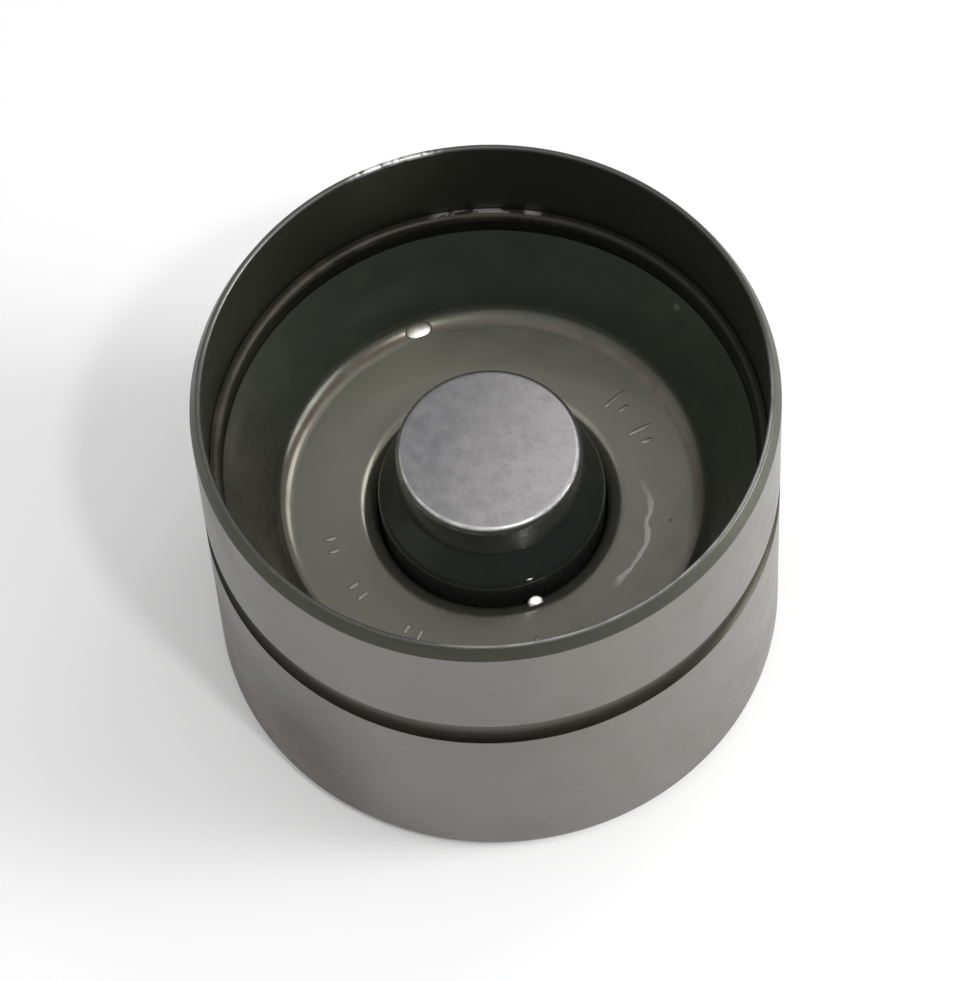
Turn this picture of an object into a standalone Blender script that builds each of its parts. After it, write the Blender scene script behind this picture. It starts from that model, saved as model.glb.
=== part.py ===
"""Hydraulic bucket tappet, standing on its cam face with the open end up.

A thin bucket shell carries a pressed sheet insert: a conical web that turns down into a guide
sleeve. The inner housing of the hydraulic element slides in that sleeve and presses on the
valve stem. Inside it are the piston, the check ball in its cap, and the two springs.
All sizes are in metres, +Z points out of the open end, and the cam face lies at Z = 0.
"""

import math

import bmesh
import bpy
from mathutils import Vector

# Bucket shell
BUCKET_DIAMETER = 0.035
BUCKET_HEIGHT = 0.026
CROWN_THICKNESS = 0.003
CROWN_EDGE_RADIUS = 0.00095
CROWN_FILLET = 0.0012
BODY_WALL = 0.0013
MOUTH_WALL = 0.0007
RIM_LAND = 0.0003
RIM_CHAMFER_HEIGHT = 0.00092

# Oil groove round the skirt, and the hole that feeds the chamber behind it
GROOVE_HEIGHT = 0.0156
GROOVE_WIDTH = 0.0022
GROOVE_DEPTH = 0.00045
FEED_HOLE_DIAMETER = 0.0012
FEED_HOLE_DROP = 0.0001

# Pocket in the crown that passes oil under the guide sleeve to the piston
POCKET_WIDTH = 0.0024
POCKET_DEPTH = 0.0006
POCKET_OVERHANG = 0.0016

# Insert: sheet thickness, its heights above the cam face, and its bends on the mouth side
SHEET_THICKNESS = 0.0006
INSERT_RIM_HEIGHT = 0.0192
FLANGE_LENGTH = 0.0013
FLANGE_EDGE_RADIUS = 0.0004
WEB_HEIGHT = 0.01265
CONE_ANGLE = math.radians(31.0)
FLANGE_BEND = 0.0006
WEB_FILLET = 0.0016
COLLAR_BEND = 0.00125
SLEEVE_END_GAP = 0.00035

# Inner housing of the hydraulic element
HOUSING_DIAMETER = 0.01385
HOUSING_LENGTH = 0.013
FACE_HEIGHT = 0.0189
TIP_DIAMETER = 0.0113
TIP_LENGTH = 0.0029
TIP_EDGE_RADIUS = 0.00045
NECK_RADIUS = 0.0005
SHOULDER_LENGTH = 0.0018
SHOULDER_RADIUS = 0.0012
HOUSING_WALL = 0.0017
HOUSING_FLOOR = 0.0025
HOUSING_CHAMFER = 0.0003

# Piston, and the seat for the check ball in its end wall
PISTON_LENGTH = 0.00745
PISTON_WALL = 0.0016
PISTON_END_WALL = 0.0019
PISTON_CHAMFER = 0.0004
RESERVOIR_CONE = 0.0009
SEAT_DIAMETER = 0.003
SEAT_BORE_DIAMETER = 0.002
BALL_DIAMETER = 0.003

# Cap that cages the ball
CAP_SHEET = 0.0003
CAP_CLEARANCE = 0.00045
CAP_VENT_DIAMETER = 0.001
CAP_WINDOW_DIAMETER = 0.0011
CAP_WINDOWS = 4
CAP_BEND = 0.0003
BALL_LIFT = 0.0003

# Springs
RETURN_WIRE = 0.0005
RETURN_COIL_DIAMETER = 0.006
RETURN_TURNS = 4.5
RETURN_CLOSED_TURNS = 0.75
VALVE_WIRE = 0.00015
VALVE_SMALL_COIL_DIAMETER = 0.0022
VALVE_LARGE_COIL_DIAMETER = 0.0032
VALVE_TURNS = 2.5
SPRING_POCKET_CLEARANCE = 0.00035

# Gaps between the pieces, and what is left between them at the end of the housing's travel
FIT_GAP = 0.00005
SEAT_GAP = 0.00003
HOUSING_FOOT_GAP = 0.0003
PISTON_TOP_GAP = 0.0001

# Facets
SHELL_STEPS = 72
HOUSING_STEPS = 60
PISTON_STEPS = 48
CAP_STEPS = 32
ROD_STEPS = 20
BALL_STEPS = 24
POCKET_END_STEPS = 8
ARC_STEP = math.radians(24)
GROOVE_STEP = math.radians(15)
RETURN_POINTS_PER_TURN = 18
VALVE_POINTS_PER_TURN = 14
WIRE_RESOLUTION = 2
MERGE_DISTANCE = 1e-6

# Radii and heights that follow from the sizes above
BUCKET_RADIUS = BUCKET_DIAMETER / 2
BODY_INNER_RADIUS = BUCKET_RADIUS - BODY_WALL
MOUTH_INNER_RADIUS = BUCKET_RADIUS - MOUTH_WALL
FLANGE_INNER_RADIUS = MOUTH_INNER_RADIUS - FIT_GAP - SHEET_THICKNESS
CONE_HEIGHT = INSERT_RIM_HEIGHT - FLANGE_LENGTH - WEB_HEIGHT
WEB_CORNER_RADIUS = FLANGE_INNER_RADIUS - CONE_HEIGHT * math.tan(CONE_ANGLE)
HOUSING_RADIUS = HOUSING_DIAMETER / 2
SLEEVE_BORE_RADIUS = HOUSING_RADIUS + FIT_GAP
SLEEVE_END_HEIGHT = CROWN_THICKNESS + SLEEVE_END_GAP
HOUSING_BORE_RADIUS = HOUSING_RADIUS - HOUSING_WALL
PISTON_RADIUS = HOUSING_BORE_RADIUS - FIT_GAP
PISTON_FOOT_HEIGHT = CROWN_THICKNESS + SEAT_GAP
PISTON_TOP_HEIGHT = PISTON_FOOT_HEIGHT + PISTON_LENGTH
RESERVOIR_RADIUS = PISTON_RADIUS - PISTON_WALL
BALL_RADIUS = BALL_DIAMETER / 2
SEAT_RADIUS = SEAT_DIAMETER / 2
SEAT_BORE_RADIUS = SEAT_BORE_DIAMETER / 2
# The seat is a 45 degree cone, so the ball's centre stands root two radii above its apex.
BALL_HEIGHT = PISTON_TOP_HEIGHT - SEAT_RADIUS + math.sqrt(2) * (BALL_RADIUS + SEAT_GAP)
CAP_HEIGHT = PISTON_TOP_HEIGHT + SEAT_GAP
CAP_INNER_RADIUS = BALL_RADIUS + CAP_CLEARANCE
CAP_INNER_TOP = BALL_HEIGHT + BALL_RADIUS + BALL_LIFT + VALVE_WIRE + SEAT_GAP
RETURN_COIL_RADIUS = RETURN_COIL_DIAMETER / 2
CAP_FLANGE_RADIUS = RETURN_COIL_RADIUS + RETURN_WIRE
SPRING_POCKET_RADIUS = RETURN_COIL_RADIUS + RETURN_WIRE / 2 + SPRING_POCKET_CLEARANCE
SPRING_SEAT_HEIGHT = FACE_HEIGHT - HOUSING_FLOOR
HOUSING_FOOT_HEIGHT = FACE_HEIGHT - HOUSING_LENGTH
HOUSING_TRAVEL = HOUSING_FOOT_HEIGHT - HOUSING_FOOT_GAP - CROWN_THICKNESS
BORE_END_HEIGHT = PISTON_TOP_HEIGHT + PISTON_TOP_GAP + HOUSING_TRAVEL


def clear_scene():
    for obj in list(bpy.data.objects):
        bpy.data.objects.remove(obj, do_unlink=True)


def new_collection(name):
    collection = bpy.data.collections.new(name)
    bpy.context.scene.collection.children.link(collection)
    return collection


def new_material(name, colour, roughness, metallic=1.0):
    material = bpy.data.materials.new(name)
    material.use_nodes = True
    shader = material.node_tree.nodes["Principled BSDF"]
    shader.inputs["Base Color"].default_value = (*colour, 1.0)
    shader.inputs["Roughness"].default_value = roughness
    shader.inputs["Metallic"].default_value = metallic
    return material


def arc_at(corner, before, after, radius):
    """Points of the arc of this radius that blends a corner, or the corner itself."""
    point = Vector(corner)
    back = Vector(before) - point
    ahead = Vector(after) - point
    half = back.angle(ahead) / 2
    if radius <= 0 or half > math.radians(89):
        return [point]
    reach = min(radius / math.tan(half), 0.48 * back.length, 0.48 * ahead.length)
    radius = reach * math.tan(half)
    middle = point + (back.normalized() + ahead.normalized()).normalized() * radius / math.sin(half)
    start = point + back.normalized() * reach - middle
    turn = start.angle_signed(point + ahead.normalized() * reach - middle)
    steps = max(1, math.ceil(abs(turn) / ARC_STEP))
    angles = [-turn * step / steps for step in range(steps + 1)]
    return [
        middle + Vector((start.x * math.cos(a) - start.y * math.sin(a),
                         start.x * math.sin(a) + start.y * math.cos(a)))
        for a in angles
    ]


def rounded(corners, closed):
    """Outline through (radius from the axis, height, corner radius), with the corners blended."""
    points = []
    count = len(corners)
    for index, (r, z, radius) in enumerate(corners):
        if not closed and index in (0, count - 1):
            points.append(Vector((r, z)))
            continue
        before = corners[index - 1][:2]
        after = corners[(index + 1) % count][:2]
        points.extend(arc_at((r, z), before, after, radius))
    return points


def groove_arc():
    """Corners of the groove's concave section, from its upper lip to its lower lip."""
    half = GROOVE_WIDTH / 2
    radius = (half**2 + GROOVE_DEPTH**2) / (2 * GROOVE_DEPTH)
    centre = BUCKET_RADIUS - GROOVE_DEPTH + radius
    reach = math.asin(half / radius)
    steps = math.ceil(2 * reach / GROOVE_STEP)
    angles = [reach - 2 * reach * step / steps for step in range(steps + 1)]
    return [
        (centre - radius * math.cos(a), GROOVE_HEIGHT + radius * math.sin(a), 0.0) for a in angles
    ]


def offset_path(path, distance):
    """The path shifted to its right by the distance. A bend keeps its centre, so its radius changes."""
    lines = []
    for start, end in zip(path, path[1:]):
        along = (Vector(end[:2]) - Vector(start[:2])).normalized()
        side = Vector((along.y, -along.x)) * distance
        lines.append((Vector(start[:2]) + side, along))
    shifted = [(*lines[0][0], path[0][2])]
    for (point, along), (other, other_along), corner in zip(lines, lines[1:], path[1:]):
        cross = along.x * other_along.y - along.y * other_along.x
        gap = other - point
        reach = (gap.x * other_along.y - gap.y * other_along.x) / cross
        radius = max(0.0, corner[2] - math.copysign(distance, cross))
        shifted.append((*(point + along * reach), radius))
    last = Vector(path[-1][:2]) + Vector((lines[-1][1].y, -lines[-1][1].x)) * distance
    shifted.append((*last, path[-1][2]))
    return shifted


def turned(name, points, steps, closed, collection, material, height=0.0):
    """An outline of (radius, height) points, turned about the Z axis by a Screw modifier."""
    mesh = bpy.data.meshes.new(name)
    count = len(points)
    edges = [(i, i + 1) for i in range(count - 1)]
    if closed:
        edges.append((count - 1, 0))
    mesh.from_pydata([(p[0], 0.0, p[1] - height) for p in points], edges, [])
    obj = bpy.data.objects.new(name, mesh)
    collection.objects.link(obj)
    obj.location.z = height
    screw = obj.modifiers.new("Turn", "SCREW")
    screw.axis = "Z"
    screw.angle = math.tau
    screw.steps = steps
    screw.render_steps = steps
    screw.use_merge_vertices = True
    screw.merge_threshold = MERGE_DISTANCE
    screw.use_smooth_shade = True
    obj.data.materials.append(material)
    return obj


def cut(obj, cutter):
    boolean = obj.modifiers.new("Cut " + cutter.name, "BOOLEAN")
    boolean.operation = "DIFFERENCE"
    boolean.solver = "EXACT"
    boolean.object = cutter


def as_cutter(obj, collection):
    for holder in list(obj.users_collection):
        holder.objects.unlink(obj)
    collection.objects.link(obj)
    obj.hide_render = True
    obj.display_type = "WIRE"
    return obj


def rod(name, radius, length, place, direction, collection):
    """A round cutter of this length, centred on a place and lying along a direction."""
    mesh = bpy.data.meshes.new(name)
    shape = bmesh.new()
    bmesh.ops.create_cone(
        shape, cap_ends=True, segments=ROD_STEPS, radius1=radius, radius2=radius, depth=length
    )
    shape.to_mesh(mesh)
    shape.free()
    obj = bpy.data.objects.new(name, mesh)
    collection.objects.link(obj)
    obj.location = place
    obj.rotation_euler = Vector(direction).to_track_quat("Z", "Y").to_euler()
    return as_cutter(obj, collection)


def insert_path():
    """The insert's surface on the mouth side, from its rim down to the end of its sleeve."""
    return [
        (FLANGE_INNER_RADIUS, INSERT_RIM_HEIGHT, FLANGE_EDGE_RADIUS),
        (FLANGE_INNER_RADIUS, INSERT_RIM_HEIGHT - FLANGE_LENGTH, FLANGE_BEND),
        (WEB_CORNER_RADIUS, WEB_HEIGHT, WEB_FILLET),
        (SLEEVE_BORE_RADIUS, WEB_HEIGHT, COLLAR_BEND),
        (SLEEVE_BORE_RADIUS, SLEEVE_END_HEIGHT, 0.0),
    ]


def shell_seat():
    """The shell's conical seat, a fit gap outside the insert: (low height, high height)."""
    top, foot = offset_path(insert_path(), -SHEET_THICKNESS - FIT_GAP)[1:3]
    slope = (top[1] - foot[1]) / (top[0] - foot[0])
    low = top[1] - (top[0] - BODY_INNER_RADIUS) * slope
    return low, top[1]


def make_pocket_cutter(cutters):
    """A slot with round ends, from inside the piston's wall to beyond the guide sleeve."""
    start = RESERVOIR_RADIUS - POCKET_WIDTH / 2
    end = SLEEVE_BORE_RADIUS + SHEET_THICKNESS + POCKET_OVERHANG
    curve = bpy.data.curves.new("transfer_pocket", "CURVE")
    curve.dimensions = "2D"
    curve.fill_mode = "BOTH"
    curve.extrude = POCKET_DEPTH
    half = POCKET_WIDTH / 2
    points = []
    for centre, first in ((end - half, -90), (start + half, 90)):
        for step in range(POCKET_END_STEPS + 1):
            angle = math.radians(first + 180 * step / POCKET_END_STEPS)
            points.append((centre + half * math.cos(angle), half * math.sin(angle), 0.0, 1.0))
    spline = curve.splines.new("POLY")
    spline.points.add(len(points) - 1)
    for point, place in zip(spline.points, points):
        point.co = place
    spline.use_cyclic_u = True
    outline = bpy.data.objects.new("transfer_pocket_outline", curve)
    cutters.objects.link(outline)
    outline.location.z = CROWN_THICKNESS
    bpy.context.view_layer.update()
    graph = bpy.context.evaluated_depsgraph_get()
    mesh = bpy.data.meshes.new_from_object(outline.evaluated_get(graph))
    shape = bmesh.new()
    shape.from_mesh(mesh)
    bmesh.ops.remove_doubles(shape, verts=shape.verts, dist=MERGE_DISTANCE)
    shape.to_mesh(mesh)
    shape.free()
    cutter = bpy.data.objects.new("transfer_pocket", mesh)
    cutter.matrix_world = outline.matrix_world
    cutters.objects.link(cutter)
    bpy.data.objects.remove(outline)
    return as_cutter(cutter, cutters)


def make_bucket_shell(parts, cutters):
    seat_low, seat_high = shell_seat()
    outline = rounded(
        [
            (0.0, CROWN_THICKNESS, 0.0),
            (BODY_INNER_RADIUS, CROWN_THICKNESS, CROWN_FILLET),
            (BODY_INNER_RADIUS, seat_low, 0.0),
            (MOUTH_INNER_RADIUS, seat_high, 0.0),
            (MOUTH_INNER_RADIUS, BUCKET_HEIGHT, 0.0),
            (MOUTH_INNER_RADIUS + RIM_LAND, BUCKET_HEIGHT, 0.0),
            (BUCKET_RADIUS, BUCKET_HEIGHT - RIM_CHAMFER_HEIGHT, 0.0),
            *groove_arc(),
            (BUCKET_RADIUS, 0.0, CROWN_EDGE_RADIUS),
            (0.0, 0.0, 0.0),
        ],
        closed=False,
    )
    steel = new_material("ground_steel", (0.36, 0.36, 0.34), 0.32)
    shell = turned("bucket_shell", outline, SHELL_STEPS, False, parts, steel)
    middle = (BUCKET_RADIUS + BODY_INNER_RADIUS) / 2
    place = (0.0, middle, GROOVE_HEIGHT - FEED_HOLE_DROP)
    feed = rod("feed_hole", FEED_HOLE_DIAMETER / 2, 4 * BODY_WALL, place, (0, 1, 0), cutters)
    cut(shell, feed)
    cut(shell, make_pocket_cutter(cutters))
    return shell


def make_guide_insert(parts):
    mouth_side = insert_path()
    crown_side = offset_path(mouth_side, -SHEET_THICKNESS)
    rim = (*crown_side[0][:2], 0.0)
    outline = rounded([rim, *crown_side[1:], *reversed(mouth_side)], closed=True)
    steel = new_material("phosphated_sheet", (0.22, 0.22, 0.2), 0.4)
    return turned("guide_insert", outline, SHELL_STEPS, True, parts, steel, WEB_HEIGHT)


def make_inner_housing(parts):
    tip = TIP_DIAMETER / 2
    neck = FACE_HEIGHT - TIP_LENGTH
    foot = HOUSING_FOOT_HEIGHT
    chamfer = HOUSING_CHAMFER
    outline = rounded(
        [
            (0.0, FACE_HEIGHT, 0.0),
            (tip, FACE_HEIGHT, TIP_EDGE_RADIUS),
            (tip, neck, NECK_RADIUS),
            (HOUSING_RADIUS, neck - SHOULDER_LENGTH, SHOULDER_RADIUS),
            (HOUSING_RADIUS, foot + chamfer, 0.0),
            (HOUSING_RADIUS - chamfer, foot, 0.0),
            (HOUSING_BORE_RADIUS + chamfer, foot, 0.0),
            (HOUSING_BORE_RADIUS, foot + chamfer, 0.0),
            (HOUSING_BORE_RADIUS, BORE_END_HEIGHT, 0.0),
            (SPRING_POCKET_RADIUS, BORE_END_HEIGHT, 0.0),
            (SPRING_POCKET_RADIUS, SPRING_SEAT_HEIGHT, 0.0),
            (0.0, SPRING_SEAT_HEIGHT, 0.0),
        ],
        closed=False,
    )
    steel = new_material("hardened_steel", (0.16, 0.16, 0.16), 0.22)
    return turned("inner_housing", outline, HOUSING_STEPS, False, parts, steel, FACE_HEIGHT)


def make_piston(parts):
    top = PISTON_TOP_HEIGHT
    foot = PISTON_FOOT_HEIGHT
    chamfer = PISTON_CHAMFER
    seat_foot = top - (SEAT_RADIUS - SEAT_BORE_RADIUS)
    reservoir_end = top - PISTON_END_WALL
    outline = rounded(
        [
            (SEAT_RADIUS, top, 0.0),
            (PISTON_RADIUS - chamfer, top, 0.0),
            (PISTON_RADIUS, top - chamfer, 0.0),
            (PISTON_RADIUS, foot + chamfer, 0.0),
            (PISTON_RADIUS - chamfer, foot, 0.0),
            (RESERVOIR_RADIUS, foot, 0.0),
            (RESERVOIR_RADIUS, reservoir_end - RESERVOIR_CONE, 0.0),
            (SEAT_BORE_RADIUS, reservoir_end, 0.0),
            (SEAT_BORE_RADIUS, seat_foot, 0.0),
        ],
        closed=True,
    )
    steel = new_material("lapped_steel", (0.5, 0.5, 0.5), 0.18)
    return turned("piston", outline, PISTON_STEPS, True, parts, steel, foot)


def make_valve_cap(parts, cutters):
    inner_top = CAP_INNER_TOP
    outer = CAP_INNER_RADIUS + CAP_SHEET
    vent = CAP_VENT_DIAMETER / 2
    outline = rounded(
        [
            (vent, inner_top + CAP_SHEET, 0.0),
            (outer, inner_top + CAP_SHEET, CAP_BEND),
            (outer, CAP_HEIGHT + CAP_SHEET, 0.0),
            (CAP_FLANGE_RADIUS, CAP_HEIGHT + CAP_SHEET, 0.0),
            (CAP_FLANGE_RADIUS, CAP_HEIGHT, 0.0),
            (CAP_INNER_RADIUS, CAP_HEIGHT, 0.0),
            (CAP_INNER_RADIUS, inner_top, 0.0),
            (vent, inner_top, 0.0),
        ],
        closed=True,
    )
    steel = new_material("cap_sheet", (0.42, 0.42, 0.42), 0.3)
    cap = turned("valve_cap", outline, CAP_STEPS, True, parts, steel, CAP_HEIGHT)
    window_height = (CAP_HEIGHT + CAP_SHEET + inner_top) / 2
    for index in range(CAP_WINDOWS // 2):
        angle = math.tau * index / CAP_WINDOWS
        direction = (math.cos(angle), math.sin(angle), 0.0)
        window = rod(
            f"cap_window_{index + 1}",
            CAP_WINDOW_DIAMETER / 2,
            4 * outer,
            (0.0, 0.0, window_height),
            direction,
            cutters,
        )
        cut(cap, window)
    return cap


def make_check_ball(parts):
    mesh = bpy.data.meshes.new("check_ball")
    shape = bmesh.new()
    bmesh.ops.create_uvsphere(
        shape, u_segments=BALL_STEPS, v_segments=BALL_STEPS // 2, radius=BALL_RADIUS
    )
    shape.to_mesh(mesh)
    shape.free()
    mesh.shade_smooth()
    ball = bpy.data.objects.new("check_ball", mesh)
    parts.objects.link(ball)
    ball.location.z = BALL_HEIGHT
    mesh.materials.append(new_material("ball_steel", (0.6, 0.6, 0.6), 0.08))
    return ball


def coil(name, wire, rise, radii, points_per_turn, turns, parts, material, height):
    """A spring wire. rise and radii give its height and its coil's radius at each turn reached."""
    curve = bpy.data.curves.new(name, "CURVE")
    curve.dimensions = "3D"
    curve.bevel_depth = wire / 2
    curve.bevel_resolution = WIRE_RESOLUTION
    curve.use_fill_caps = True
    count = round(turns * points_per_turn) + 1
    spline = curve.splines.new("POLY")
    spline.points.add(count - 1)
    for index, point in enumerate(spline.points):
        turn = turns * index / (count - 1)
        radius = radii(turn)
        angle = math.tau * turn
        point.co = (radius * math.cos(angle), radius * math.sin(angle), rise(turn), 1.0)
    curve.materials.append(material)
    obj = bpy.data.objects.new(name, curve)
    parts.objects.link(obj)
    obj.location.z = height
    return obj


def make_return_spring(parts):
    """Closed end turns a wire apart, and open turns that share the rest of the height."""
    low = CAP_HEIGHT + CAP_SHEET + SEAT_GAP + RETURN_WIRE / 2
    high = SPRING_SEAT_HEIGHT - SEAT_GAP - RETURN_WIRE / 2
    closed = RETURN_CLOSED_TURNS
    end_rise = closed * (RETURN_WIRE + SEAT_GAP)
    pitch = (high - low - 2 * end_rise) / (RETURN_TURNS - 2 * closed)

    def rise(turn):
        if turn < closed:
            return turn / closed * end_rise
        if turn > RETURN_TURNS - closed:
            return high - low - (RETURN_TURNS - turn) / closed * end_rise
        return end_rise + (turn - closed) * pitch

    steel = new_material("spring_steel", (0.3, 0.3, 0.3), 0.3)
    return coil(
        "return_spring", RETURN_WIRE, rise, lambda turn: RETURN_COIL_RADIUS,
        RETURN_POINTS_PER_TURN, RETURN_TURNS, parts, steel, low,
    )


def make_valve_spring(parts):
    """A conical coil, from the ball's shoulder up to the cap."""
    small = VALVE_SMALL_COIL_DIAMETER / 2
    large = VALVE_LARGE_COIL_DIAMETER / 2
    reach = BALL_RADIUS + VALVE_WIRE / 2 + SEAT_GAP
    low = BALL_HEIGHT + math.sqrt(reach**2 - small**2)
    high = CAP_INNER_TOP - SEAT_GAP - VALVE_WIRE / 2
    steel = new_material("fine_spring_steel", (0.35, 0.35, 0.35), 0.3)
    return coil(
        "valve_spring", VALVE_WIRE, lambda turn: (high - low) * turn / VALVE_TURNS,
        lambda turn: small + (large - small) * turn / VALVE_TURNS,
        VALVE_POINTS_PER_TURN, VALVE_TURNS, parts, steel, low,
    )


def hold(carrier, *pieces):
    """Parents the pieces to a carrier and leaves them where they are."""
    for piece in pieces:
        place = piece.location - carrier.location
        piece.parent = carrier
        piece.location = place


def new_carrier(name, height, collection):
    carrier = bpy.data.objects.new(name, None)
    collection.objects.link(carrier)
    carrier.location.z = height
    return carrier


def main():
    clear_scene()
    parts = new_collection("bucket_tappet")
    cutters = new_collection("cutters")
    shell = make_bucket_shell(parts, cutters)
    insert = make_guide_insert(parts)
    housing = make_inner_housing(parts)
    piston = make_piston(parts)
    cap = make_valve_cap(parts, cutters)
    ball = make_check_ball(parts)
    return_spring = make_return_spring(parts)
    valve_spring = make_valve_spring(parts)
    fixed = new_carrier("bucket_axis", 0.0, parts)
    hold(fixed, shell, insert, piston, cap, return_spring, valve_spring)
    hold(new_carrier("housing_slide", FACE_HEIGHT, parts), housing)
    hold(new_carrier("ball_lift", BALL_HEIGHT, parts), ball)


main()
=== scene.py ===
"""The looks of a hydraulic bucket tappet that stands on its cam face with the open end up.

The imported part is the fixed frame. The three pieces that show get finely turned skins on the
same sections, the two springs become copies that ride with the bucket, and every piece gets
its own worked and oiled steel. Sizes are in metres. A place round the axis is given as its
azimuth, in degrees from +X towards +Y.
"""

import math

import bmesh
import bpy
from mathutils import Matrix, Vector


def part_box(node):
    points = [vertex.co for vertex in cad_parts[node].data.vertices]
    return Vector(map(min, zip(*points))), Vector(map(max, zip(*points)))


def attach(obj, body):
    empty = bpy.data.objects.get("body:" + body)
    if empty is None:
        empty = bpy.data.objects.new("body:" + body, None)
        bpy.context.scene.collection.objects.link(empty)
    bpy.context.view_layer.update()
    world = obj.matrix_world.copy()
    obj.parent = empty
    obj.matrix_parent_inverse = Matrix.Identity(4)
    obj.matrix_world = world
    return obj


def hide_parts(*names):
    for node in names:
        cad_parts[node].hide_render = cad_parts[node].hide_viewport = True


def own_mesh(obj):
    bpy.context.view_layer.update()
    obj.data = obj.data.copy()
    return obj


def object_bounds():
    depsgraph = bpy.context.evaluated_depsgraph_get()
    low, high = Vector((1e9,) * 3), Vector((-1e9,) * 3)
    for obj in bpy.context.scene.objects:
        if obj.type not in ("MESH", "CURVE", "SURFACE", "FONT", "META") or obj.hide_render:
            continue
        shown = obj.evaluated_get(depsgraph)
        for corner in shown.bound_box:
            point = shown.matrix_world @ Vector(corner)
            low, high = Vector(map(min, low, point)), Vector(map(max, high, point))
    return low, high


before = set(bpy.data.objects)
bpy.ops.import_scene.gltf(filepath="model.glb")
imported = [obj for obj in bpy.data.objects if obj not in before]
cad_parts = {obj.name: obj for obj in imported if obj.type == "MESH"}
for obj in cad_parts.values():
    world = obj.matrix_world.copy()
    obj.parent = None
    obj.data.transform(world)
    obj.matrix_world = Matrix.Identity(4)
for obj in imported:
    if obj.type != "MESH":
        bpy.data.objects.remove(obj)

CAD_LOW, CAD_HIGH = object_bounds()

# Camera that fits the circles of the photo
IMAGE_WIDTH = 980
SENSOR_WIDTH = 36.0
FOCAL_PIXELS = 5532.6
CAMERA_DISTANCE = 0.33717
CAMERA_ELEVATION = math.radians(61.247)
CAMERA_ROLL = math.radians(4.101)
CAMERA_PAN = math.radians(0.023)
CAMERA_TILT = math.radians(0.060)
CAMERA_CLIP = (0.01, 50)

# Shell sections that the frame's boxes don't give
CROWN_THICKNESS = 0.003
CROWN_EDGE_RADIUS = 0.00095
CROWN_FILLET = 0.0012
BODY_WALL = 0.0013
MOUTH_WALL = 0.0007
RIM_LAND = 0.0003
RIM_CHAMFER_HEIGHT = 0.00092
RIM_INNER_EDGE = 0.0002
RIM_OUTER_EDGE = 0.00008
CHAMFER_EDGE = 0.0001
GROOVE_HEIGHT = 0.0156
GROOVE_WIDTH = 0.0022
GROOVE_DEPTH = 0.00045
FEED_HOLE_DIAMETER = 0.0012
FEED_HOLE_DROP = 0.0001
POCKET_WIDTH = 0.0024
POCKET_DEPTH = 0.0006
POCKET_START = 0.002375
POCKET_END = 0.009175
POCKET_END_STEPS = 12
HOLE_STEPS = 48

# Insert sections
SHEET_THICKNESS = 0.0006
RIM_HEIGHT = 0.0192
FLANGE_LENGTH = 0.0013
FLANGE_EDGE_RADIUS = 0.0004
WEB_HEIGHT = 0.01265
CONE_ANGLE = math.radians(31.0)
FLANGE_BEND = 0.0006
WEB_FILLET = 0.0016
COLLAR_BEND = 0.00125

# Oil on edges and in corners: azimuth of the place, radius, height, half length, half width
INSERT_OIL = (
    (107.4, 0.01274, 0.012856, 0.00085, 0.00052),
    (-73.5, 0.0076, 0.01262, 0.00052, 0.00042),
)
HOUSING_OIL = ((-73.9, 0.00684, 0.0143, 0.00025, 0.00014),)
OIL_TILT = math.radians(27.7)
OIL_LEAN = math.radians(-73)
OIL_HALF_THICKNESS = 0.000015
OIL_STEPS = (32, 16)

# Housing sections
TIP_DIAMETER = 0.0113
TIP_LENGTH = 0.0029
TIP_EDGE_RADIUS = 0.00045
NECK_RADIUS = 0.0005
SHOULDER_LENGTH = 0.0018
SHOULDER_RADIUS = 0.0012
HOUSING_WALL = 0.0017
HOUSING_CHAMFER = 0.0003
BORE_END_HEIGHT = 0.01318
SPRING_POCKET_RADIUS = 0.0036
SPRING_SEAT_HEIGHT = 0.0164

FIT_GAP = 0.00005

# Springs: node, the joint that shortens it, height of its fixed end, and the joint's travel
SPRINGS = (
    ("return_spring", "housing_slide", 0.01084, 0.0026),
    ("valve_spring", "ball_lift", 0.0131, 0.0003),
)

# Facets of the skins. Two blended corners share the side between them, apart from a short rest
SKIN_STEPS = 288
ARC_STEP = math.radians(8)
STRAIGHT_HALF_ANGLE = math.radians(89)
CORNER_SHARE = 0.96
SHARP_ANGLE = math.radians(35)
MERGE_DISTANCE = 1e-7
FLAT_TOLERANCE = 1e-5

# Struck marks on the web: radius, then (azimuth, length along the radius)
MARK_RADIUS = 0.0102
MARK_WIDTH = 0.00028
MARK_HEIGHT = 0.000045
MARK_STEPS = (20, 10)
LONG_MARK = 0.0017
SHORT_MARK = 0.0008
MARKS = (
    (39, LONG_MARK), (34, SHORT_MARK), (24, LONG_MARK), (19, SHORT_MARK),
    (-78, SHORT_MARK), (-119, SHORT_MARK), (-124, SHORT_MARK),
    (-144, SHORT_MARK), (-149, SHORT_MARK), (-164, SHORT_MARK), (-169, SHORT_MARK),
)

# Where a finish changes, and where painted highlights, light and shade change: along X, Y or Z, or
# by the distance from the axis
SKIRT_SHADE_X = (-0.007, -0.0135)
SKIRT_SHADE_Y = (0.012, -0.004)
SKIRT_SHADE_Z = (0.017, 0.004)
RIM_EDGE_HIGHLIGHT_RADII = (0.01706, 0.01696)
GROOVE_SHADE_ABOVE_LIP = (0.0004, 0.0015)
WEB_LIGHT_Y = (-0.009, 0.0115)
FOOT_START_RADII = (0.0120, 0.0124)
FOOT_END_RADII = (0.0128, 0.0138)
FOOT_TINT_RADII = (0.0122, 0.0127)
CONE_RADII = (0.0124, 0.0134)
COLLAR_RADII = (0.0079, 0.0083)
FLANGE_SHADE_X = (-0.004, 0.012)
FLANGE_HIGHLIGHT_RADII = (0.01642, 0.01654)
FLANGE_SHADOW_DROP = (0.00055, 0.00035)
FACE_LIGHT_SPAN = (-0.0045, 0.0065)
FACE_LIGHT_LEAN = 0.4
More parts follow.
